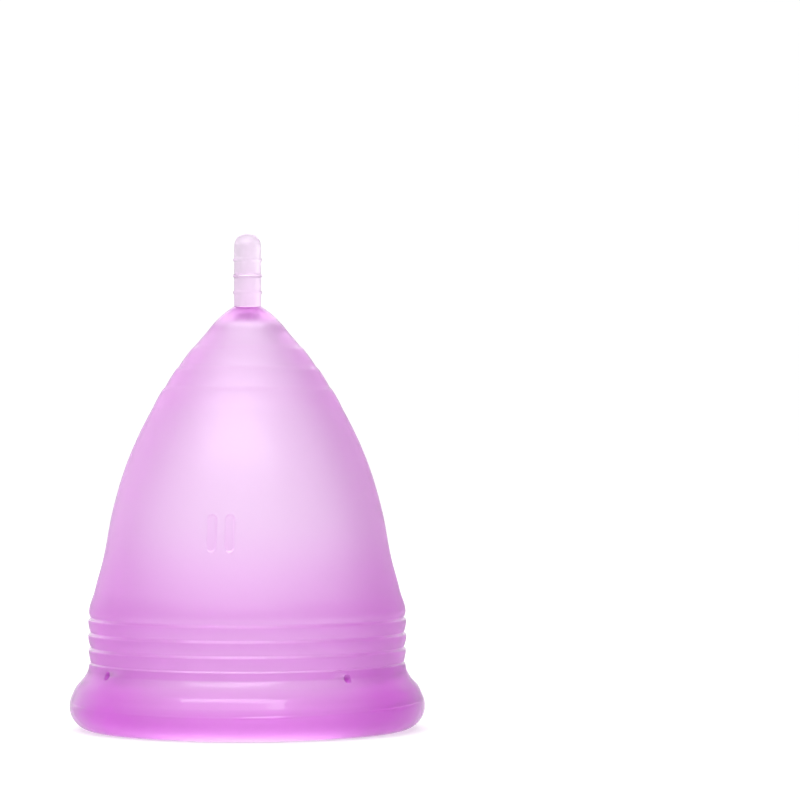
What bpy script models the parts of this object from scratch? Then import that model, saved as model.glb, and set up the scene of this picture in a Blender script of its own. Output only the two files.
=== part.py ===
"""Menstrual cup of soft silicone, standing mouth down on its rim with the stem up.

The real cup is one moulding. It is modelled as the regions that a maker would name: rim, grip band,
bell and base, and a stem in three links that bend on two sprung hinges, as the soft stem bends.
Metres, +Z up. The origin is the centre of the rim's flat foot, and +Z runs up through the stem.
"""

import math

import bmesh
import bpy
from mathutils import Matrix, Vector

# Rim: a round lip outside, a straight mouth inside.
LIP_CENTRE_R = 0.0200
LIP_CENTRE_Z = 0.0030
LIP_RADIUS = 0.00305
LIP_TOP_Z = 0.0043
FOOT_INNER_R = 0.0189
MOUTH_R = 0.0182
LIP_STEPS = 8
MOUTH_STEPS = 3

# Outside of the wall above the lip, as (height, radius).
WALL_OUTSIDE = (
    (0.0043, 0.02276),
    (0.0055, 0.02218),
    (0.0067, 0.02115),
    (0.0082, 0.02042),
    (0.0118, 0.02034),
    (0.0156, 0.02024),
    (0.0180, 0.01977),
    (0.0220, 0.01870),
    (0.0285, 0.01742),
    (0.0350, 0.01542),
    (0.0415, 0.01233),
    (0.0470, 0.00885),
    (0.0500, 0.00650),
    (0.0514, 0.00530),
    (0.0527, 0.00423),
    (0.0539, 0.00295),
    (0.0547, 0.00185),
)
SLOPE_STEP = 0.0002

# The wall is thickest round the neck, and thins in stages further up, each (from, to, change).
NECK_WALL = 0.0020
WALL_STAGES = ((0.0160, 0.0280, -0.00055), (0.0420, 0.0500, -0.0002))

# Rounded rings round the grip band, and shallower ones round the base.
GRIP_RINGS_FROM = 0.0087
GRIP_RING_PITCH = 0.00192
GRIP_RINGS = 4
GRIP_RELIEF = 0.00028
BASE_RINGS_FROM = 0.0444
BASE_RING_PITCH = 0.0027
BASE_RINGS = 2
BASE_RELIEF = 0.00012

# Heights where one region ends and the next begins.
GAP = 0.0003
RIM_TOP = 0.0060
GRIP_TOP = 0.0166
BELL_TOP = 0.0439
BASE_TOP = 0.0547
CEILING_SIDE_Z = 0.0506
CEILING_Z = 0.0524
CEILING_STEPS = 4

# Rows of faces up each stretch of wall.
FLARE_ROWS = 2
NECK_ROWS = 4
BELL_ROWS = 14
BASE_END_ROWS = 7
HOLLOW_ROWS = 4

# Four vent holes under the grip rings, turned from the front (-Y) towards +X.
VENT_RADIUS = 0.00055
VENT_Z = 0.0075
VENT_TURNS_DEG = (-57.0, 39.5, 123.0, 219.5)
VENT_SIDES = 12
VENT_DRILL_LENGTH = 0.0060

# Raised size mark: two upright round-ended bars, left of the front.
MARK_TURN_DEG = 8.6
MARK_Z = 0.0259
MARK_BAR_HEIGHT = 0.0046
MARK_BAR_WIDTH = 0.0012
MARK_BAR_SPACING = 0.0023
MARK_PROUD = 0.0002
MARK_DEPTH = 0.0010
MARK_END_STEPS = 4

# Stem: each link is a round bar with a domed top; the next has a hollow underside round that dome.
STEM_R = 0.00175
STEM_TOP = 0.0642
LOWER_PIVOT_Z = 0.0570
UPPER_PIVOT_Z = 0.0612
BEAD_HEIGHTS = (0.05655, 0.0587, 0.0608)
BEAD_PROUD = 0.00014
BEAD_HALF = 0.0003
TIP_ROUNDING = 0.0016
ROUND_STEPS = 6

CUP_SIDES = 48
STEM_SIDES = 24
SHARP_DEG = 50
WELD = 1e-6

SILICONE = (0.80, 0.40, 0.84, 1.0)
STEM_SILICONE = (0.90, 0.68, 0.92, 1.0)


def clear_scene():
    for obj in list(bpy.data.objects):
        bpy.data.objects.remove(obj)


def silicone(name, colour):
    material = bpy.data.materials.new(name)
    material.use_nodes = True
    shader = material.node_tree.nodes["Principled BSDF"]
    shader.inputs["Base Color"].default_value = colour
    shader.inputs["Roughness"].default_value = 0.4
    shader.inputs["Metallic"].default_value = 0.0
    material.diffuse_color = colour
    return material


def station_slope(i):
    """Slope of the outside at one of its stations: the mean of the runs either side."""
    runs = []
    for a, b in ((i - 1, i), (i, i + 1)):
        if a >= 0 and b < len(WALL_OUTSIDE):
            (za, ra), (zb, rb) = WALL_OUTSIDE[a], WALL_OUTSIDE[b]
            runs.append((rb - ra) / (zb - za))
    return sum(runs) / len(runs)


def smooth_radius(z):
    """Radius of the outside at height z, without its rings, on a smooth curve through the stations."""
    z = min(max(z, WALL_OUTSIDE[0][0]), WALL_OUTSIDE[-1][0])
    i = max(k for k in range(len(WALL_OUTSIDE) - 1) if WALL_OUTSIDE[k][0] <= z)
    (za, ra), (zb, rb) = WALL_OUTSIDE[i], WALL_OUTSIDE[i + 1]
    run = zb - za
    t = (z - za) / run
    rise = t * t * (3 - 2 * t)
    leave = t * (1 - t) ** 2 * run * station_slope(i)
    arrive = -t * t * (1 - t) * run * station_slope(i + 1)
    return ra + (rb - ra) * rise + leave + arrive


def ring_relief(z, start, pitch, count, relief):
    """How far a set of rounded rings stands out at height z: nothing in a groove, most mid-ring."""
    turn = (z - start) / pitch
    if not 0 <= turn <= count:
        return 0.0
    across = 2 * (turn - math.floor(turn)) - 1
    return relief * (1 - across**2)


def outside_radius(z):
    grip = ring_relief(z, GRIP_RINGS_FROM, GRIP_RING_PITCH, GRIP_RINGS, GRIP_RELIEF)
    base = ring_relief(z, BASE_RINGS_FROM, BASE_RING_PITCH, BASE_RINGS, BASE_RELIEF)
    return smooth_radius(z) + grip + base


def wall_slope(z):
    """How fast the outside's radius changes with height, without its rings."""
    return (smooth_radius(z + SLOPE_STEP) - smooth_radius(z - SLOPE_STEP)) / (2 * SLOPE_STEP)


def wall_thickness(z):
    wall = NECK_WALL
    for low, high, change in WALL_STAGES:
        t = min(max((z - low) / (high - low), 0.0), 1.0)
        wall += change * t * t * (3 - 2 * t)
    return wall


def inside_radius(z):
    """The wall's thickness is square to its surface, so it is more across where the wall slopes."""
    return min(MOUTH_R, smooth_radius(z) - wall_thickness(z) * math.hypot(1, wall_slope(z)))


def arc(centre_r, centre_z, radius, start_deg, end_deg, steps):
    """Points (radius, height) along an arc, its ends among them."""
    points = []
    for i in range(steps + 1):
        turn = math.radians(start_deg + (end_deg - start_deg) * i / steps)
        points.append((centre_r + radius * math.cos(turn), centre_z + radius * math.sin(turn)))
    return points


def spread(low, high, rows):
    """Heights from low to high that part the stretch between them into equal rows."""
    return [low + (high - low) * i / rows for i in range(rows + 1)]


def ring_heights(start, pitch, count):
    """Groove, shoulder, crest and shoulder of each ring, and the last groove."""
    return [start + pitch * i / 4 for i in range(4 * count + 1)]


def wall_outline(outer_heights, inner_heights):
    """A closed band of wall: up the outside, then down the inside."""
    up = [(outside_radius(z), z) for z in outer_heights]
    down = [(inside_radius(z), z) for z in reversed(inner_heights)]
    return up + down


def rim_outline():
    """Foot, round lip, the start of the flare, the straight mouth and its rounded edge."""
    foot_half = math.sqrt(LIP_RADIUS**2 - LIP_CENTRE_Z**2)
    start = math.degrees(math.atan2(-LIP_CENTRE_Z, foot_half))
    end = math.degrees(math.asin((LIP_TOP_Z - LIP_CENTRE_Z) / LIP_RADIUS))
    lip = arc(LIP_CENTRE_R, LIP_CENTRE_Z, LIP_RADIUS, start, end, LIP_STEPS)[:-1]
    flare = [(outside_radius(z), z) for z in spread(LIP_TOP_Z, RIM_TOP, FLARE_ROWS)]
    edge = FOOT_INNER_R - MOUTH_R
    mouth = arc(FOOT_INNER_R, edge, edge, 180, 270, MOUTH_STEPS)
    return lip + flare + [(MOUTH_R, RIM_TOP), (MOUTH_R, LIP_CENTRE_Z)] + mouth


def grip_outline():
    """Flare, neck and grip rings."""
    foot = RIM_TOP + GAP
    flare = spread(foot, GRIP_RINGS_FROM, NECK_ROWS)[:-1]
    rings = ring_heights(GRIP_RINGS_FROM, GRIP_RING_PITCH, GRIP_RINGS)
    return wall_outline(flare + rings + [GRIP_TOP], spread(foot, GRIP_TOP, NECK_ROWS))


def bell_outline():
    """The long tapering wall between the grip rings and the base rings."""
    heights = spread(GRIP_TOP + GAP, BELL_TOP, BELL_ROWS)
    return wall_outline(heights, heights)


def base_outline():
    """The closed end, from the axis at its top down its rings and up the hollow to its ceiling."""
    rings = ring_heights(BASE_RINGS_FROM, BASE_RING_PITCH, BASE_RINGS)
    foot = BELL_TOP + GAP
    heights = [foot] + rings + spread(rings[-1], BASE_TOP, BASE_END_ROWS)[1:]
    outside = [(0.0, BASE_TOP)] + [(outside_radius(z), z) for z in reversed(heights)]
    wall = [(inside_radius(z), z) for z in spread(foot, CEILING_SIDE_Z, HOLLOW_ROWS)]
    side = wall[-1][0]
    rise = CEILING_Z - CEILING_SIDE_Z
    ceiling = [(side * r, CEILING_SIDE_Z + rise * z) for r, z in arc(0, 0, 1, 0, 90, CEILING_STEPS)]
    return outside + wall + ceiling[1:-1] + [(0.0, CEILING_Z)]


def bar_side(low, high):
    """Side of the stem from low to high, with the beads that lie on it."""
    side = [(STEM_R, low)]
    for bead in BEAD_HEIGHTS:
        if low + BEAD_HALF < bead < high - BEAD_HALF:
            crest = (STEM_R + BEAD_PROUD, bead)
            side += [(STEM_R, bead - BEAD_HALF), crest, (STEM_R, bead + BEAD_HALF)]
    return side + [(STEM_R, high)]


def domed_top(pivot_z):
    """Above its pivot a link closes in a dome."""
    dome = arc(0.0, pivot_z, STEM_R, 0, 90, ROUND_STEPS)
    return dome[1:-1] + [(0.0, pivot_z + STEM_R)]


def hollow_foot(pivot_z):
    """The underside that clears the dome below it, from the axis out to its edge."""
    radius = STEM_R + GAP
    edge_deg = math.degrees(math.acos(STEM_R / radius))
    hollow = arc(0.0, pivot_z, radius, 90, edge_deg, ROUND_STEPS)
    return [(0.0, pivot_z + radius)] + hollow[1:-1]


def hollow_foot_edge(pivot_z):
    return pivot_z + math.sqrt((STEM_R + GAP) ** 2 - STEM_R**2)


def stem_root_outline():
    foot = BASE_TOP + GAP
    return [(0.0, foot)] + bar_side(foot, LOWER_PIVOT_Z) + domed_top(LOWER_PIVOT_Z)


def stem_middle_outline():
    side = bar_side(hollow_foot_edge(LOWER_PIVOT_Z), UPPER_PIVOT_Z)
    return hollow_foot(LOWER_PIVOT_Z) + side + domed_top(UPPER_PIVOT_Z)


def stem_tip_outline():
    shoulder = STEM_TOP - TIP_ROUNDING
    side = bar_side(hollow_foot_edge(UPPER_PIVOT_Z), shoulder)
    corner = arc(STEM_R - TIP_ROUNDING, shoulder, TIP_ROUNDING, 0, 90, ROUND_STEPS)
    return hollow_foot(UPPER_PIVOT_Z) + side + corner[1:] + [(0.0, STEM_TOP)]


def turned(name, outline, sides, material, origin_z=0.0):
    """Spins an outline of (radius, height) points round Z into one smooth closed solid.

    An outline that starts on the axis ends on it too. Any other is joined end to start.
    """
    shape = bmesh.new()
    points = [shape.verts.new((r, 0.0, z - origin_z)) for r, z in outline]
    pairs = list(zip(points, points[1:]))
    if outline[0][0] > 0:
        pairs.append((points[-1], points[0]))
    edges = [shape.edges.new(pair) for pair in pairs]
    bmesh.ops.spin(
        shape,
        geom=points + edges,
        cent=(0.0, 0.0, 0.0),
        axis=(0.0, 0.0, 1.0),
        angle=2 * math.pi,
        steps=sides,
        use_merge=True,
    )
    bmesh.ops.remove_doubles(shape, verts=shape.verts[:], dist=WELD)
    obj = placed(name, shape)
    obj.location.z = origin_z
    obj.data.shade_smooth()
    obj.data.set_sharp_from_angle(angle=math.radians(SHARP_DEG))
    obj.data.materials.append(material)
    return obj


def placed(name, shape):
    """Turns a bmesh into an object in the scene, its faces pointing out."""
    bmesh.ops.recalc_face_normals(shape, faces=shape.faces[:])
    mesh = bpy.data.meshes.new(name)
    shape.to_mesh(mesh)
    shape.free()
    obj = bpy.data.objects.new(name, mesh)
    bpy.context.scene.collection.objects.link(obj)
    return obj


def combine(obj, name, shape, operation):
    """Cuts or joins a helper shape with an object; the helper stays out of the finished cup."""
    helper = placed(name, shape)
    helper.hide_render = True
    helper.display_type = "WIRE"
    boolean = obj.modifiers.new(name, "BOOLEAN")
    boolean.operation = operation
    boolean.object = helper
    boolean.solver = "EXACT"


def outward(turn_deg):
    """Direction out from the axis, turned from the front (-Y) towards +X."""
    turn = math.radians(turn_deg)
    return Vector((math.sin(turn), -math.cos(turn), 0.0))


def vent_drills():
    """Short radial drills, one for each vent hole."""
    shape = bmesh.new()
    for turn_deg in VENT_TURNS_DEG:
        out = outward(turn_deg)
        centre = out * (MOUTH_R + NECK_WALL / 2)
        centre.z = VENT_Z
        bmesh.ops.create_cone(
            shape,
            cap_ends=True,
            segments=VENT_SIDES,
            radius1=VENT_RADIUS,
            radius2=VENT_RADIUS,
            depth=VENT_DRILL_LENGTH,
            matrix=Matrix.Translation(centre) @ out.to_track_quat("Z", "Y").to_matrix().to_4x4(),
        )
    return shape


def round_ended(half_width, half_height):
    """Outline (across, up) of an upright bar with half-round ends."""
    straight = half_height - half_width
    top = arc(0.0, straight, half_width, 0, 180, MARK_END_STEPS)
    bottom = arc(0.0, -straight, half_width, 180, 360, MARK_END_STEPS)
    return top + bottom


def size_mark():
    """Two bars sunk in the bell's wall, standing a little proud of it, their faces drawn in."""
    shape = bmesh.new()
    radius = smooth_radius(MARK_Z)
    slope = wall_slope(MARK_Z)
    turn_apart = math.degrees(MARK_BAR_SPACING / radius)
    for side in (-0.5, 0.5):
        out = outward(-MARK_TURN_DEG + side * turn_apart)
        across = out.cross(Vector((0.0, 0.0, 1.0)))
        up = (out * slope + Vector((0.0, 0.0, 1.0))).normalized()
        normal = up.cross(across)
        centre = out * radius
        centre.z = MARK_Z
        rings = []
        for depth, drawn_in in ((MARK_PROUD, MARK_PROUD), (-MARK_DEPTH, 0.0)):
            outline = round_ended(MARK_BAR_WIDTH / 2 - drawn_in, MARK_BAR_HEIGHT / 2 - drawn_in)
            middle = centre + normal * depth
            rings.append([shape.verts.new(middle + across * a + up * u) for a, u in outline])
            shape.faces.new(rings[-1])
        front, back = rings
        for i in range(len(front)):
            shape.faces.new((front[i - 1], front[i], back[i], back[i - 1]))
    return shape


def build_cup():
    turned("rim", rim_outline(), CUP_SIDES, silicone("rim_silicone", SILICONE))
    grip = turned("grip_band", grip_outline(), CUP_SIDES, silicone("grip_silicone", SILICONE))
    combine(grip, "vent_drills", vent_drills(), "DIFFERENCE")
    bell = turned("bell", bell_outline(), CUP_SIDES, silicone("bell_silicone", SILICONE))
    combine(bell, "size_mark", size_mark(), "UNION")
    turned("base", base_outline(), CUP_SIDES, silicone("base_silicone", SILICONE))


def build_stem():
    """The root belongs to the cup; the other two links have their origins on their hinges."""
    stem = silicone("stem_silicone", STEM_SILICONE)
    turned("stem_root", stem_root_outline(), STEM_SIDES, stem)
    turned("stem_middle", stem_middle_outline(), STEM_SIDES, stem, LOWER_PIVOT_Z)
    turned("stem_tip", stem_tip_outline(), STEM_SIDES, stem, UPPER_PIVOT_Z)


def main():
    clear_scene()
    build_cup()
    build_stem()


main()
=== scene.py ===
"""Looks of a soft silicone cup standing on its rim: one continuous moulded skin, and its bending stem."""

import math

import bmesh
import bpy
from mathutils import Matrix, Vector


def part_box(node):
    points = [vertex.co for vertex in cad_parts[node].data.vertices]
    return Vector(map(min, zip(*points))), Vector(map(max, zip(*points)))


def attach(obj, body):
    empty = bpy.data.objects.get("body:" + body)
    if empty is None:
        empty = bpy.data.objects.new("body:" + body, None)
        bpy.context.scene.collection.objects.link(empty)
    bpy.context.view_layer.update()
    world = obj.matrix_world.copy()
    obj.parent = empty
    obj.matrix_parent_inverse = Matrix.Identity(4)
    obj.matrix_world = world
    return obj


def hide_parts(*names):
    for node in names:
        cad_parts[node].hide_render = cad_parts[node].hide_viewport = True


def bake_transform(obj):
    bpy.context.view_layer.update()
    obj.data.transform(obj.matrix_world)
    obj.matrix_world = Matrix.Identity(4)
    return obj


MM = 0.001

# ---- The moulding, in millimetres ----

# Rim: a round lip outside, a straight mouth inside with a rounded edge, and a flat foot between them.
LIP_CENTRE_R = 20.0
LIP_CENTRE_Z = 3.0
LIP_RADIUS = 3.05
FOOT_INNER_R = 18.9
MOUTH_R = 18.2

# Parting line round the lip: its height at the front, how far it rises at the sides and leans to the
# right, the span of heights it keeps to, half its breadth, and how far it stands out.
PARTING_LINE_Z = 3.1
PARTING_RISE = 0.6
PARTING_TILT = 0.2
PARTING_SPAN = (2.8, 4.15)
PARTING_HALF = 0.2
PARTING_PROUD = 0.02
# Where its flash stands proudest: turn from the front, half its length, and extra height. Flash of
# the full height is as glossy as a ledge and is tinted as pale, as a painted highlight.
PARTING_FLASH = ((7.0, 8.0, 0.08), (60.0, 18.0, 0.05), (-68.0, 9.0, 0.07), (175.0, 20.0, 0.05))
FLASH_FULL = 0.04

# Outside of the wall above the lip, as (height, radius).
WALL_OUTSIDE = (
    (4.3, 22.76),
    (5.5, 22.18),
    (6.7, 21.15),
    (8.2, 20.42),
    (11.8, 20.34),
    (15.6, 20.24),
    (18.0, 19.77),
    (22.0, 18.70),
    (28.5, 17.42),
    (35.0, 15.42),
    (41.5, 12.33),
    (47.0, 8.85),
    (50.0, 6.50),
    (51.4, 5.30),
    (52.7, 4.23),
    (53.9, 2.95),
    (54.7, 1.85),
)

# The wall is thickest round the neck, and thins in stages further up, each (from, to, change).
NECK_WALL = 2.0
WALL_STAGES = ((16, 28, -0.55), (42, 50, -0.2))
LEAST_WALL = 1.0
SLOPE_STEP = 0.2

# Rings: first groove, pitch, how many, and how far they stand out. Each swells slowly from the groove
# below it and ends in a small ledge at the groove above it. Over the grip's last groove the wall
# swells once more and fades into the bell.
NECK_LEDGE = (7.5, 1.2, 1, 0.12)
GRIP_RINGS = (8.7, 1.92, 3, 0.30)
GRIP_TOP_SWELL = (14.46, 3.4, 0.26)
BASE_RINGS = (41.6, 2.68, 3, 0.12)
RING_CREST = 0.84
LEDGE_FULLNESS = 1.2
SWELL_CREST = 0.28

# The hollow ends in a dome between these heights.
CEILING_SIDE_Z = 51.3
CEILING_Z = 53.2

# Four vent holes under the grip rings, turned from the front towards +X.
VENT_TURNS_DEG = (-57.0, 39.5, 123.0, 219.5)
VENT_RADIUS = 0.55
VENT_Z = 7.5

# Raised size mark: two upright round-ended bars, left of the front.
MARK_TURN_DEG = -8.6
MARK_Z = 25.9
MARK_BAR_HEIGHT = 4.6
MARK_BAR_WIDTH = 1.2
MARK_BAR_SPACING = 2.3
MARK_PROUD = 0.32
MARK_EDGE = 0.12
MARK_REACH = 1.0  # the mark lies within this turn of the front, in radians

# Stem, with its fine beads. The skin is split at the middle bead, where it rides wholly on the stem's
# middle link.
STEM_R = 1.75
STEM_FOOT_Z = 54.7
STEM_SEAM_Z = 58.7
SEAM_GAP = 0.02
BEAD_HEIGHTS = (56.55, 58.7, 60.8)
BEAD_PROUD = 0.15
BEAD_HALF = 0.3
BEAD_FRONT_SHARE = 0.2
TIP_ROUNDING = 1.6

# Mesh fineness: columns all round, the gaps between rows, and the steps along arcs.
AXIS_R = 1e-6
COLUMNS = 156
ROW = 0.4
LIP_STEP = 0.08  # radians round the lip's own arc, as the next two are
PARTING_STEP = 0.017
FLARE_STEP = 0.05
FLARE_ROW = 0.22
NECK_ROW = 0.05
GRIP_RING_ROWS = 19
SWELL_ROW = 0.2
BASE_RING_ROWS = 13
END_ROW = 0.25
MOUTH_ROW = 0.6
HOLLOW_ROW = 0.8
CEILING_STEPS = 12
MOUTH_EDGE_STEPS = 8
MARK_STEP = 0.08
MARK_ROW = 0.11
STEM_COLUMNS = 96
STEM_ROW = 0.1
TIP_STEPS = 14
VENT_PATCH = 0.85  # half the side of the square patch that a vent's rings fill
VENT_CELLS = 6
VENT_RINGS = 4

# ---- Finish ----

# The cup's surface colour deepens from the bell down to the rim, as painted shade for the dimmer light
# inside the cup near the floor; the tint itself comes from the wall's thickness, as light is absorbed on
# its way through.
PALE = (0.92, 0.99, 0.93, 1.0)
# Painted shade: the darker tint painted towards the rim, where less light reaches the inside.
DEEP_PAINTED_SHADE = (0.86, 0.85, 0.87, 1.0)
PAINTED_SHADE_FULL_BELOW = 10.0
PALE_ABOVE = 24.0
STEM_FOOT_COLOUR = (0.86, 0.88, 0.87, 1.0)
STEM_TIP_COLOUR = (0.82, 0.94, 0.83, 1.0)
STEM_BLUSH = (55.0, 62.0)
ABSORBED = (0.92, 0.0, 0.94, 1.0)
DENSITY = 180.0
STEM_DENSITY = 110.0

IOR = 1.41
TRANSMISSION = 1.0
BODY_ROUGHNESS = 0.42
FROST_VARIES = 0.08
CUP_FROST_GRAIN = 900.0
STEM_FROST_GRAIN = 1400.0
FROST_BUMP = 0.03
FROST_DEPTH = 0.00002

# Gloss: thin over the body, stronger on the rim, and full along the rings' ledges, which are also tinted
# paler as a painted highlight.
COAT = 0.08
COAT_ROUGHNESS = 0.07
RIM_COAT = 0.5
RIM_GLOSS_FADE = (6.5, 8.0)
LEDGE_COAT = 1.0
# Painted highlight: the white tint laid along the ledges and the full flash.
LEDGE_PAINTED_HIGHLIGHT = (1.0, 1.0, 1.0, 1.0)
LEDGE_MASK = (0.78, 0.86)
BASE_LEDGE_SHARE = 0.3

# ---- Studio ----

# White surroundings, a little dimmer towards the right and at both sides.
WORLD_STRENGTH = 1.04
WORLD_LEAN = 0.35
WORLD_SIDES = 0.15
WORLD_SIDES_SPAN = (0.2, 0.6)

FLOOR_SIZE = 3.0
FLOOR_DROP = 0.0001
FLOOR_PALE = 0.45
FLOOR_ROUGHNESS = 0.9
FLOOR_GLOW = 0.55

# Soft panels of light: place, width, height and radiance.
PANELS = {
    "front_panel": ((-0.05, -0.28, 0.36), 0.5, 0.12, 8.0),
    "back_panel": ((0.0, 0.55, 0.38), 0.55, 0.25, 2.6),
    "left_panel": ((-0.45, 0.40, 0.05), 0.45, 0.5, 0.5),
    "right_panel": ((0.45, 0.40, 0.05), 0.45, 0.5, 0.3),
}

CAMERA_AT = (0.0198, -0.510, 0.0426)
CAMERA_LENS = 176.7
CAMERA_SENSOR = 36.0
CAMERA_CLIP = 0.01


# ---- Outline ----


def station_slope(i):
    """Slope of the outside at one of its stations: the mean of the runs either side."""
    runs = []
    for a, b in ((i - 1, i), (i, i + 1)):
        if a >= 0 and b < len(WALL_OUTSIDE):
            (za, ra), (zb, rb) = WALL_OUTSIDE[a], WALL_OUTSIDE[b]
            runs.append((rb - ra) / (zb - za))
    return sum(runs) / len(runs)


def smooth_radius(z):
    """Radius of the outside at height z, without its rings, on a smooth curve through the stations."""
    z = min(max(z, WALL_OUTSIDE[0][0]), WALL_OUTSIDE[-1][0])
    i = max(k for k in range(len(WALL_OUTSIDE) - 1) if WALL_OUTSIDE[k][0] <= z)
    (za, ra), (zb, rb) = WALL_OUTSIDE[i], WALL_OUTSIDE[i + 1]
    run = zb - za
    t = (z - za) / run
    rise = t * t * (3 - 2 * t)
    leave = t * (1 - t) ** 2 * run * station_slope(i)
    arrive = -t * t * (1 - t) * run * station_slope(i + 1)
    return ra + (rb - ra) * rise + leave + arrive


def smoothstep(t):
    """Eases from 0 to 1 as t goes from 0 to 1, and stays there outside."""
    t = min(max(t, 0.0), 1.0)
    return t * t * (3 - 2 * t)


def ring_relief(z, start, pitch, count, relief):
    """How far a set of rings stands out at height z: nothing in a groove, most at a ring's crest."""
    rings = (z - start) / pitch
    if not 0 < rings < count:
        return 0.0
    part = rings % 1
    if part < RING_CREST:
        return relief * (1 - (1 - part / RING_CREST) ** 2)
    return relief * (1 - ((part - RING_CREST) / (1 - RING_CREST)) ** LEDGE_FULLNESS)


def top_swell(z):
    """How far the wall swells out at height z over the grip's last groove."""
    start, length, relief = GRIP_TOP_SWELL
    part = (z - start) / length
    if not 0 < part < 1:
        return 0.0
    if part < SWELL_CREST:
        return relief * (1 - (1 - part / SWELL_CREST) ** 2)
    return relief * (1 - smoothstep((part - SWELL_CREST) / (1 - SWELL_CREST)))


def outside_radius(z):
    rings = sum(ring_relief(z, *ring_set) for ring_set in (NECK_LEDGE, GRIP_RINGS, BASE_RINGS))
    return smooth_radius(z) + rings + top_swell(z)


def inside_radius(z):
    """The wall's thickness is square to its surface, so it is more across where the wall slopes."""
    wall = NECK_WALL
    for low, high, change in WALL_STAGES:
        wall += change * smoothstep((z - low) / (high - low))
    slope = (smooth_radius(z + SLOPE_STEP) - smooth_radius(z - SLOPE_STEP)) / (2 * SLOPE_STEP)
    return min(MOUTH_R, smooth_radius(z) - wall * math.hypot(1, slope))


def arc(centre_r, centre_z, radius, start_deg, end_deg, steps):
    """Points (radius, height) along an arc, its ends among them."""
    points = []
    for i in range(steps + 1):
        turn = math.radians(start_deg + (end_deg - start_deg) * i / steps)
        points.append((centre_r + radius * math.cos(turn), centre_z + radius * math.sin(turn)))
    return points


def spread(low, high, gap):
    """Values from low to high, evenly about this gap apart."""
    count = max(1, round((high - low) / gap))
    return [low + (high - low) * i / count for i in range(count + 1)]


def joined(*runs):
    """Runs of heights put end to end, each starting where the last one ends."""
    heights = list(runs[0])
    for run in runs[1:]:
        heights += run[1:]
    return heights


def bead_lift(turn, r, z):
    """The beads round the stem stand out at its sides and fade towards its front and back."""
    share = BEAD_FRONT_SHARE + (1 - BEAD_FRONT_SHARE) * math.sin(turn) ** 2
    swell = sum(max(0.0, 1 - ((z - bead) / BEAD_HALF) ** 2) ** 2 for bead in BEAD_HEIGHTS)
    return BEAD_PROUD * share * swell if r > STEM_R / 2 else 0.0


def stem_side(low, high):
    return [(STEM_R, z) for z in spread(low, high, STEM_ROW)]


def lip_outline():
    """From the foot's outer edge round the lip, its points close together along the parting line."""
    foot_half = math.sqrt(LIP_RADIUS**2 - LIP_CENTRE_Z**2)
    start = math.atan2(-LIP_CENTRE_Z, foot_half)
    low, high = (math.asin((z - LIP_CENTRE_Z) / LIP_RADIUS) for z in PARTING_SPAN)
    end = math.asin((WALL_OUTSIDE[0][0] - LIP_CENTRE_Z) / LIP_RADIUS)
    turns = joined(
        spread(start, low, LIP_STEP),
        spread(low, high, PARTING_STEP),
        spread(high, end, FLARE_STEP),
    )
    return [
        (LIP_CENTRE_R + LIP_RADIUS * math.cos(turn), LIP_CENTRE_Z + LIP_RADIUS * math.sin(turn))
        for turn in turns[:-1]
    ]


def outside_heights():
    """Heights of the rows up the outside above the lip, close together where there is detail."""
    first, pitch, count = GRIP_RINGS[:3]
    rings_top = first + pitch * count
    swell_top = GRIP_TOP_SWELL[0] + GRIP_TOP_SWELL[1]
    low_mark, high_mark = mark_span()
    base_first, base_pitch, base_count = BASE_RINGS[:3]
    base_top = base_first + base_pitch * base_count
    return joined(
        spread(WALL_OUTSIDE[0][0], VENT_Z - VENT_PATCH, FLARE_ROW),
        spread(VENT_Z - VENT_PATCH, VENT_Z + VENT_PATCH, VENT_PATCH / VENT_CELLS),
        spread(VENT_Z + VENT_PATCH, first, NECK_ROW),
        spread(first, rings_top, pitch / GRIP_RING_ROWS),
        spread(rings_top, swell_top, SWELL_ROW),
        spread(swell_top, low_mark, ROW),
        spread(low_mark, high_mark, MARK_ROW),
        spread(high_mark, base_first, ROW),
        spread(base_first, base_top, base_pitch / BASE_RING_ROWS),
        spread(base_top, STEM_FOOT_Z, END_ROW),
    )


def mark_span():
    """Lowest and highest height that the size mark touches, with a margin."""
    half = MARK_BAR_HEIGHT / 2 + 2 * MARK_EDGE
    return MARK_Z - half, MARK_Z + half


def inside_outline():
    """From the domed ceiling of the hollow down its wall and round the mouth's edge to the foot."""
    side_r = inside_radius(CEILING_SIDE_Z)
    rise = CEILING_Z - CEILING_SIDE_Z
    ceiling = [(side_r * r, CEILING_SIDE_Z + rise * z) for r, z in arc(0, 0, 1, 90, 0, CEILING_STEPS)]
    edge = FOOT_INNER_R - MOUTH_R
    heights = joined(
        spread(edge, VENT_Z - VENT_PATCH, MOUTH_ROW),
        spread(VENT_Z - VENT_PATCH, VENT_Z + VENT_PATCH, VENT_PATCH / VENT_CELLS),
        spread(VENT_Z + VENT_PATCH, CEILING_SIDE_Z, HOLLOW_ROW),
    )
    wall = [(inside_radius(z), z) for z in reversed(heights)]
    return ceiling[:-1] + wall + arc(FOOT_INNER_R, edge, edge, 180, 270, MOUTH_EDGE_STEPS)[1:]


def cup_outline():
    outside = [(outside_radius(z), z) for z in outside_heights()]
    foot_middle = [((FOOT_INNER_R + LIP_CENTRE_R) / 2, 0.0)]
    return inside_outline() + foot_middle + lip_outline() + outside + [(0.0, STEM_FOOT_Z)]


def stem_root_outline():
    foot = STEM_FOOT_Z + SEAM_GAP
    return [(0.0, foot)] + stem_side(foot, STEM_SEAM_Z) + [(0.0, STEM_SEAM_Z)]


def stem_end_outline(top):
    shoulder = top - TIP_ROUNDING
    foot = STEM_SEAM_Z + SEAM_GAP
    corner = arc(STEM_R - TIP_ROUNDING, shoulder, TIP_ROUNDING, 0, 90, TIP_STEPS)
    return [(0.0, foot)] + stem_side(foot, shoulder) + corner[1:] + [(0.0, top)]


# ---- Skin ----


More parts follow.
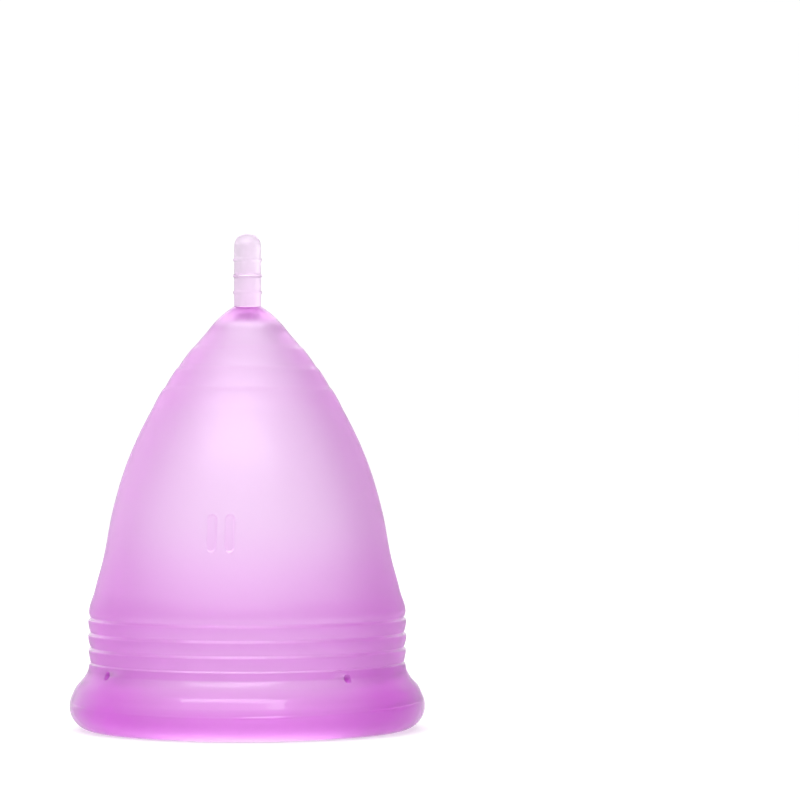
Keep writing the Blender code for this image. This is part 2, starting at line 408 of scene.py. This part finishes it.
def fine_spans():
    """Where round the axis the columns lie close together, in degrees: the size mark and the vents."""
    radius = smooth_radius(MARK_Z)
    half = math.degrees((MARK_BAR_SPACING / 2 + MARK_BAR_WIDTH / 2 + MARK_EDGE) / radius)
    spans = [(MARK_TURN_DEG - half, MARK_TURN_DEG + half, math.degrees(MARK_STEP / radius))]
    half = math.degrees(VENT_PATCH / MOUTH_R)
    for turn in VENT_TURNS_DEG:
        spans.append((turn - half, turn + half, half / VENT_CELLS))
    return sorted(spans)


def column_turns():
    """Turns round the axis, 0 at the front and growing towards +X, finer where there is detail."""
    spans = fine_spans()
    turns = []
    for (low, high, step), following in zip(spans, spans[1:] + [(spans[0][0] + 360, 0, 0)]):
        turns += spread(low, high, step)[:-1] + spread(high, following[0], 360 / COLUMNS)[:-1]
    return [math.radians(turn) for turn in turns]


def bar_lift(across, up):
    """Height of one raised round-ended bar at a place on the wall, measured from its middle."""
    straight = (MARK_BAR_HEIGHT - MARK_BAR_WIDTH) / 2
    beyond = max(0.0, abs(up) - straight)
    inside = MARK_BAR_WIDTH / 2 - math.hypot(across, beyond)
    return MARK_PROUD * smoothstep(inside / MARK_EDGE + 0.5)


def mark_lift(turn, r, z):
    """Height of the size mark at a place on the wall."""
    across = (turn - math.radians(MARK_TURN_DEG)) * r
    return max(bar_lift(across + side * MARK_BAR_SPACING / 2, z - MARK_Z) for side in (-1, 1))


def turned_from(turn, start):
    """The shorter way round from one turn to another, in radians."""
    return math.remainder(turn - start, 2 * math.pi)


def parting_lift(turn, z):
    """Height of the parting line, a fine ridge round the lip that varies along its length."""
    proud = PARTING_PROUD
    for middle, half, extra in PARTING_FLASH:
        away = math.degrees(turned_from(turn, math.radians(middle))) / half
        proud += extra * max(0.0, 1 - away**4)
    across = math.sin(turn)
    line = PARTING_LINE_Z + PARTING_RISE * across * across + PARTING_TILT * across
    return proud * max(0.0, 1 - abs(z - line) / PARTING_HALF)


def place(turn, r, z):
    """A point in metres from its turn, radius and height."""
    return Vector((r * math.sin(turn), -r * math.cos(turn), z)) * MM


def turned_grid(shape, outline, turns, lift):
    """Rows of vertices round the axis, joined by faces. An outline's two ends may lie on the axis."""
    rows = []
    for r, z in outline:
        if r < AXIS_R:
            rows.append([shape.verts.new((0.0, 0.0, z * MM))] * len(turns))
            continue
        rows.append([shape.verts.new(place(t, r + lift(t, r, z), z)) for t in turns])
    faces = {}
    for i, (low, high) in enumerate(zip(rows, rows[1:])):
        for j in range(len(turns)):
            k = (j + 1) % len(turns)
            corners = list(dict.fromkeys((low[j], low[k], high[k], high[j])))
            faces[i, j] = shape.faces.new(corners)
    return rows, faces


def vent_side(shape, rows, faces, outline, turns, turn, radius_at, first_row, last_row):
    """Opens a round hole in one side of the wall; gives back its ring of vertices, and their angles.

    A square patch of faces round the hole gives way to rings that pass from the patch's edge to the
    circle, all lying on the wall's own surface.
    """
    heights = {i: outline[i][1] - VENT_Z for i in range(first_row, last_row)}
    low = min(i for i in heights if abs(heights[i]) <= VENT_PATCH)
    high = max(i for i in heights if abs(heights[i]) <= VENT_PATCH)
    column = min(range(len(turns)), key=lambda j: abs(math.remainder(turns[j] - turn, 2 * math.pi)))
    left, right = column - VENT_CELLS, column + VENT_CELLS
    for i in range(low, high):
        for j in range(left, right):
            shape.faces.remove(faces.pop((i, j % len(turns))))
    path = [(low, j) for j in range(left, right)] + [(i, right) for i in range(low, high)]
    path += [(high, j) for j in range(right, left, -1)] + [(i, left) for i in range(high, low, -1)]
    edge = [rows[i][j % len(turns)] for i, j in path]
    for i in range(low + 1, high):
        for j in range(left + 1, right):
            shape.verts.remove(rows[i][j % len(turns)])
    centre_r = radius_at(VENT_Z)
    flat = []
    for i, j in path:
        across = turned_from(turns[j % len(turns)], turn) * centre_r
        flat.append((across, outline[i][1] - VENT_Z))
    last = edge
    for ring in range(1, VENT_RINGS + 1):
        share = ring / VENT_RINGS
        verts = []
        for across, up in flat:
            reach = math.hypot(across, up)
            scale = 1 + (VENT_RADIUS / reach - 1) * share
            z = VENT_Z + up * scale
            verts.append(shape.verts.new(place(turn + across * scale / centre_r, radius_at(z), z)))
        for n in range(len(path)):
            m = (n + 1) % len(path)
            shape.faces.new((last[n], last[m], verts[m], verts[n]))
        last = verts
    return last, [math.atan2(up, across) for across, up in flat]


def add_vents(shape, rows, faces, outline, turns, split):
    """Bores the vent holes: a round hole in each side of the wall, and a bore between them."""
    for degrees in VENT_TURNS_DEG:
        turn = math.radians(degrees)
        inner, inner_angles = vent_side(
            shape, rows, faces, outline, turns, turn, inside_radius, 0, split
        )
        outer, outer_angles = vent_side(
            shape, rows, faces, outline, turns, turn, outside_radius, split, len(outline)
        )
        count = len(outer)
        start = min(range(count), key=lambda n: abs(turned_from(inner_angles[n], outer_angles[0])))
        inner_way = turned_from(inner_angles[(start + 1) % count], inner_angles[start])
        outer_way = turned_from(outer_angles[1], outer_angles[0])
        step = 1 if inner_way * outer_way > 0 else -1
        matched = [inner[(start + step * n) % count] for n in range(count)]
        for n in range(count):
            m = (n + 1) % count
            shape.faces.new((outer[n], outer[m], matched[m], matched[n]))


def finished(name, shape, material):
    """Turns a bmesh into a smooth piece in the scene, its faces pointing out."""
    bmesh.ops.recalc_face_normals(shape, faces=shape.faces[:])
    mesh = bpy.data.meshes.new(name)
    shape.to_mesh(mesh)
    shape.free()
    mesh.shade_smooth()
    mesh.materials.append(material)
    obj = bpy.data.objects.new(name, mesh)
    bpy.context.scene.collection.objects.link(obj)
    return obj


def note_flash(obj):
    """Notes on the lip's points how far the flash stands out there, for the material to read."""
    flash = obj.data.attributes.new("flash", "FLOAT", "POINT")
    for vertex, noted in zip(obj.data.vertices, flash.data):
        x, y, z = vertex.co / MM
        if z < LIP_CENTRE_Z + LIP_RADIUS and math.hypot(x, y) > LIP_CENTRE_R:
            extra = parting_lift(math.atan2(x, -y), z) - PARTING_PROUD
            noted.value = min(1.0, max(0.0, extra) / FLASH_FULL)


def cup_skin(material):
    """Rim, neck, bell and base as the one moulding they are."""
    outline = cup_outline()
    turns = column_turns()
    shape = bmesh.new()
    low_mark, high_mark = mark_span()
    split = len(inside_outline())

    def lift(turn, r, z):
        if z < LIP_CENTRE_Z + LIP_RADIUS and r > LIP_CENTRE_R:
            return parting_lift(turn, z)
        outside = r > inside_radius(z) + LEAST_WALL / 2
        on_mark = low_mark < z < high_mark and outside and abs(turn) < MARK_REACH
        return mark_lift(turn, r, z) if on_mark else 0.0

    rows, faces = turned_grid(shape, outline, turns, lift)
    add_vents(shape, rows, faces, outline, turns, split)
    obj = finished("cup_skin", shape, material)
    note_flash(obj)
    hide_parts("rim", "grip_band", "bell", "base")
    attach(obj, "cup")


def stem_piece(name, outline, material):
    """One length of the stem, turned from its outline."""
    shape = bmesh.new()
    turns = [2 * math.pi * i / STEM_COLUMNS for i in range(STEM_COLUMNS)]
    turned_grid(shape, outline, turns, bead_lift)
    return finished(name, shape, material)


def stem_skin(material, top):
    """The stem in two lengths, each lying over one of the two hinges."""
    root = stem_piece("stem_root_skin", stem_root_outline(), material)
    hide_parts("stem_root", "stem_middle")
    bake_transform(root)
    end = stem_piece("stem_end_skin", stem_end_outline(top / MM), material)
    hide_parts("stem_tip")
    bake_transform(end)


# ---- Materials ----


def add_node(tree, kind, **values):
    """A new node with these settings."""
    node = tree.nodes.new(kind)
    for name, value in values.items():
        setattr(node, name, value)
    return node


def chain(tree, operation, *values):
    """A maths node fed with numbers and other nodes' outputs, in order; gives back its output."""
    node = add_node(tree, "ShaderNodeMath", operation=operation)
    for socket, value in zip(node.inputs, values):
        if isinstance(value, (int, float)):
            socket.default_value = value
        else:
            tree.links.new(value, socket)
    return node.outputs["Value"]


def ring_edges_group():
    """Node group: how near a height in millimetres is to the ledge of a ring, from 0 to 1."""
    group = bpy.data.node_groups.new("ring_edges", "ShaderNodeTree")
    for name in ("Height", "First groove", "Pitch", "Rings"):
        group.interface.new_socket(name, in_out="INPUT", socket_type="NodeSocketFloat")
    group.interface.new_socket("Mask", in_out="OUTPUT", socket_type="NodeSocketFloat")
    given = group.nodes.new("NodeGroupInput").outputs
    result = group.nodes.new("NodeGroupOutput")
    above_groove = chain(group, "SUBTRACT", given["Height"], given["First groove"])
    rings = chain(group, "DIVIDE", above_groove, given["Pitch"])
    below = chain(group, "LESS_THAN", rings, given["Rings"])
    above = chain(group, "GREATER_THAN", rings, 0.0)
    ledge = eased(group, chain(group, "FRACT", rings), LEDGE_MASK)
    inside = chain(group, "MULTIPLY", below, above)
    group.links.new(chain(group, "MULTIPLY", ledge, inside), result.inputs["Mask"])
    return group


def ring_edges(tree, group, height, rings):
    """Where the ledges of one set of rings lie."""
    node = add_node(tree, "ShaderNodeGroup", node_tree=group)
    tree.links.new(height, node.inputs["Height"])
    for name, value in zip(("First groove", "Pitch", "Rings"), rings):
        node.inputs[name].default_value = value
    return node.outputs["Mask"]


def mixed(tree, factor, low, high):
    """A colour between two others."""
    node = add_node(tree, "ShaderNodeMix", data_type="RGBA")
    for socket, value in (("A", low), ("B", high)):
        if isinstance(value, tuple):
            node.inputs[socket].default_value = value
        else:
            tree.links.new(value, node.inputs[socket])
    tree.links.new(factor, node.inputs["Factor"])
    return node.outputs["Result"]


def frosting_group():
    """Node group: the fine uneven frosting that a blasted mould leaves on its silicone."""
    group = bpy.data.node_groups.new("frosting", "ShaderNodeTree")
    for name in ("Grain", "Roughness", "Varies", "Bump"):
        group.interface.new_socket(name, in_out="INPUT", socket_type="NodeSocketFloat")
    group.interface.new_socket("Roughness", in_out="OUTPUT", socket_type="NodeSocketFloat")
    group.interface.new_socket("Normal", in_out="OUTPUT", socket_type="NodeSocketVector")
    given = group.nodes.new("NodeGroupInput").outputs
    result = group.nodes.new("NodeGroupOutput")
    place_node = add_node(group, "ShaderNodeTexCoord")
    grain = add_node(group, "ShaderNodeTexNoise")
    group.links.new(given["Grain"], grain.inputs["Scale"])
    group.links.new(place_node.outputs["Object"], grain.inputs["Vector"])
    from_middle = chain(group, "SUBTRACT", grain.outputs["Fac"], 0.5)
    roughness = chain(group, "MULTIPLY_ADD", from_middle, given["Varies"], given["Roughness"])
    group.links.new(roughness, result.inputs["Roughness"])
    bump = add_node(group, "ShaderNodeBump")
    bump.inputs["Distance"].default_value = FROST_DEPTH
    group.links.new(given["Bump"], bump.inputs["Strength"])
    group.links.new(grain.outputs["Fac"], bump.inputs["Height"])
    group.links.new(bump.outputs["Normal"], result.inputs["Normal"])
    return group


def frosted(tree, shader, group, grain):
    """Gives a shader the frosting's roughness and its fine bumps."""
    node = add_node(tree, "ShaderNodeGroup", node_tree=group)
    values = {"Grain": grain, "Roughness": BODY_ROUGHNESS, "Varies": FROST_VARIES, "Bump": FROST_BUMP}
    for name, value in values.items():
        node.inputs[name].default_value = value
    tree.links.new(node.outputs["Roughness"], shader.inputs["Roughness"])
    tree.links.new(node.outputs["Normal"], shader.inputs["Normal"])


def height_of(tree):
    """Height above the foot in millimetres."""
    place_node = add_node(tree, "ShaderNodeTexCoord")
    split = add_node(tree, "ShaderNodeSeparateXYZ")
    tree.links.new(place_node.outputs["Object"], split.inputs["Vector"])
    return chain(tree, "DIVIDE", split.outputs["Z"], MM)


def eased(tree, value, span, ends=(0.0, 1.0)):
    """A value eased between two ends as another crosses a span."""
    node = add_node(tree, "ShaderNodeMapRange", interpolation_type="SMOOTHSTEP")
    node.inputs["From Min"].default_value, node.inputs["From Max"].default_value = span
    node.inputs["To Min"].default_value, node.inputs["To Max"].default_value = ends
    tree.links.new(value, node.inputs["Value"])
    return node.outputs["Result"]


def silicone(name, density, frosting, grain):
    """Translucent silicone: frosted inside, tinted by its thickness, with a thin gloss on its surface."""
    material = bpy.data.materials.new(name)
    material.use_nodes = True
    tree = material.node_tree
    shader = tree.nodes["Principled BSDF"]
    shader.inputs["IOR"].default_value = IOR
    shader.inputs["Transmission Weight"].default_value = TRANSMISSION
    shader.inputs["Coat Weight"].default_value = COAT
    shader.inputs["Coat Roughness"].default_value = COAT_ROUGHNESS
    shader.inputs["Coat IOR"].default_value = IOR
    frosted(tree, shader, frosting, grain)
    volume = add_node(tree, "ShaderNodeVolumeAbsorption")
    volume.inputs["Color"].default_value = ABSORBED
    volume.inputs["Density"].default_value = density
    tree.links.new(volume.outputs["Volume"], tree.nodes["Material Output"].inputs["Volume"])
    return material


def tint_by_height(material):
    """Deepens the cup's tint towards its rim as painted shade, and leaves the rings' ledges and the lip's
    flash paler, as a painted highlight, and glossier.
    """
    tree = material.node_tree
    shader = tree.nodes["Principled BSDF"]
    height = height_of(tree)
    group = ring_edges_group()
    neck = ring_edges(tree, group, height, NECK_LEDGE[:3])
    grip = ring_edges(tree, group, height, GRIP_RINGS[:3])
    base = ring_edges(tree, group, height, BASE_RINGS[:3])
    flash = add_node(tree, "ShaderNodeAttribute", attribute_name="flash").outputs["Fac"]
    grip_edges = chain(tree, "ADD", flash, chain(tree, "ADD", neck, grip))
    ledges = chain(tree, "MULTIPLY_ADD", base, BASE_LEDGE_SHARE, grip_edges)
    # Painted shade: the tint darkens towards the rim, where less light reaches the inside of the cup.
    tint = mixed(tree, eased(tree, height, (PAINTED_SHADE_FULL_BELOW, PALE_ABOVE)), DEEP_PAINTED_SHADE, PALE)
    # Painted highlight: the ledges and the flash are tinted paler.
    tree.links.new(mixed(tree, ledges, tint, LEDGE_PAINTED_HIGHLIGHT), shader.inputs["Base Color"])
    rim_gloss = eased(tree, height, RIM_GLOSS_FADE, (RIM_COAT, COAT))
    gloss = chain(tree, "MAXIMUM", chain(tree, "MULTIPLY", ledges, LEDGE_COAT), rim_gloss)
    tree.links.new(gloss, shader.inputs["Coat Weight"])


def blush_stem(material):
    """The stem is nearly clear at its tip and takes a little of the cup's pink at its foot."""
    tree = material.node_tree
    blush = mixed(tree, eased(tree, height_of(tree), STEM_BLUSH), STEM_FOOT_COLOUR, STEM_TIP_COLOUR)
    tree.links.new(blush, tree.nodes["Principled BSDF"].inputs["Base Color"])


# ---- Studio ----


def floor_plane():
    """A pale floor, which glows a little so that it stays as light as the surroundings."""
    shape = bmesh.new()
    bmesh.ops.create_grid(shape, x_segments=1, y_segments=1, size=FLOOR_SIZE)
    mesh = bpy.data.meshes.new("floor")
    shape.to_mesh(mesh)
    shape.free()
    floor = bpy.data.objects.new("floor", mesh)
    bpy.context.scene.collection.objects.link(floor)
    floor.location.z = -FLOOR_DROP
    material = bpy.data.materials.new("white_floor")
    material.use_nodes = True
    shader = material.node_tree.nodes["Principled BSDF"]
    shader.inputs["Base Color"].default_value = (FLOOR_PALE, FLOOR_PALE, FLOOR_PALE, 1)
    shader.inputs["Roughness"].default_value = FLOOR_ROUGHNESS
    shader.inputs["Emission Color"].default_value = (1, 1, 1, 1)
    shader.inputs["Emission Strength"].default_value = FLOOR_GLOW
    mesh.materials.append(material)


def softbox(name, at, width, height, radiance):
    """A soft panel of light, aimed at the cup. The radiance is its own brightness, white paper being 1."""
    light = bpy.data.lights.new(name, "AREA")
    light.shape = "RECTANGLE"
    light.size = width
    light.size_y = height
    light.energy = radiance * math.pi * width * height
    lamp = bpy.data.objects.new(name, light)
    bpy.context.scene.collection.objects.link(lamp)
    lamp.location = at
    lamp.visible_camera = False
    aim = Vector((0.0, 0.0, 0.03)) - lamp.location
    lamp.rotation_euler = aim.to_track_quat("-Z", "Y").to_euler()


def studio():
    """White surroundings, floor, panels of light and camera."""
    scene = bpy.context.scene
    scene.view_settings.view_transform = "Standard"
    world = bpy.data.worlds.new("studio")
    scene.world = world
    world.use_nodes = True
    tree = world.node_tree
    place_node = add_node(tree, "ShaderNodeTexCoord")
    split = add_node(tree, "ShaderNodeSeparateXYZ")
    tree.links.new(place_node.outputs["Generated"], split.inputs["Vector"])
    across = split.outputs["X"]
    sides = eased(tree, chain(tree, "ABSOLUTE", across), WORLD_SIDES_SPAN)
    leaning = chain(tree, "MULTIPLY_ADD", across, -WORLD_LEAN, WORLD_STRENGTH)
    strength = chain(tree, "MULTIPLY_ADD", sides, -WORLD_SIDES, leaning)
    tree.links.new(strength, tree.nodes["Background"].inputs["Strength"])
    tree.nodes["Background"].inputs["Color"].default_value = (1, 1, 1, 1)
    floor_plane()
    for name, panel in PANELS.items():
        softbox(name, *panel)

    data = bpy.data.cameras.new("camera")
    data.lens = CAMERA_LENS
    data.sensor_width = CAMERA_SENSOR
    data.clip_start = CAMERA_CLIP
    camera = bpy.data.objects.new("camera", data)
    scene.collection.objects.link(camera)
    camera.location = CAMERA_AT
    camera.rotation_euler = (math.pi / 2, 0, 0)
    scene.camera = camera


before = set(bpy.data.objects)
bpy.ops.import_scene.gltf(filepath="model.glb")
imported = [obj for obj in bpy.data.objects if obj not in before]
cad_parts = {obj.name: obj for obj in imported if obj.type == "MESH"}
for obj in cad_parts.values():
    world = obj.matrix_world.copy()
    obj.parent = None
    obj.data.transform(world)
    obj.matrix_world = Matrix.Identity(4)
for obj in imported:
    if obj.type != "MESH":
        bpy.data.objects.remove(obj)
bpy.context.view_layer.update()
frosting = frosting_group()
cup_finish = silicone("cup_silicone", DENSITY, frosting, CUP_FROST_GRAIN)
tint_by_height(cup_finish)
cup_skin(cup_finish)
stem_finish = silicone("stem_silicone", STEM_DENSITY, frosting, STEM_FROST_GRAIN)
blush_stem(stem_finish)
stem_skin(stem_finish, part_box("stem_tip")[1].z)
studio()
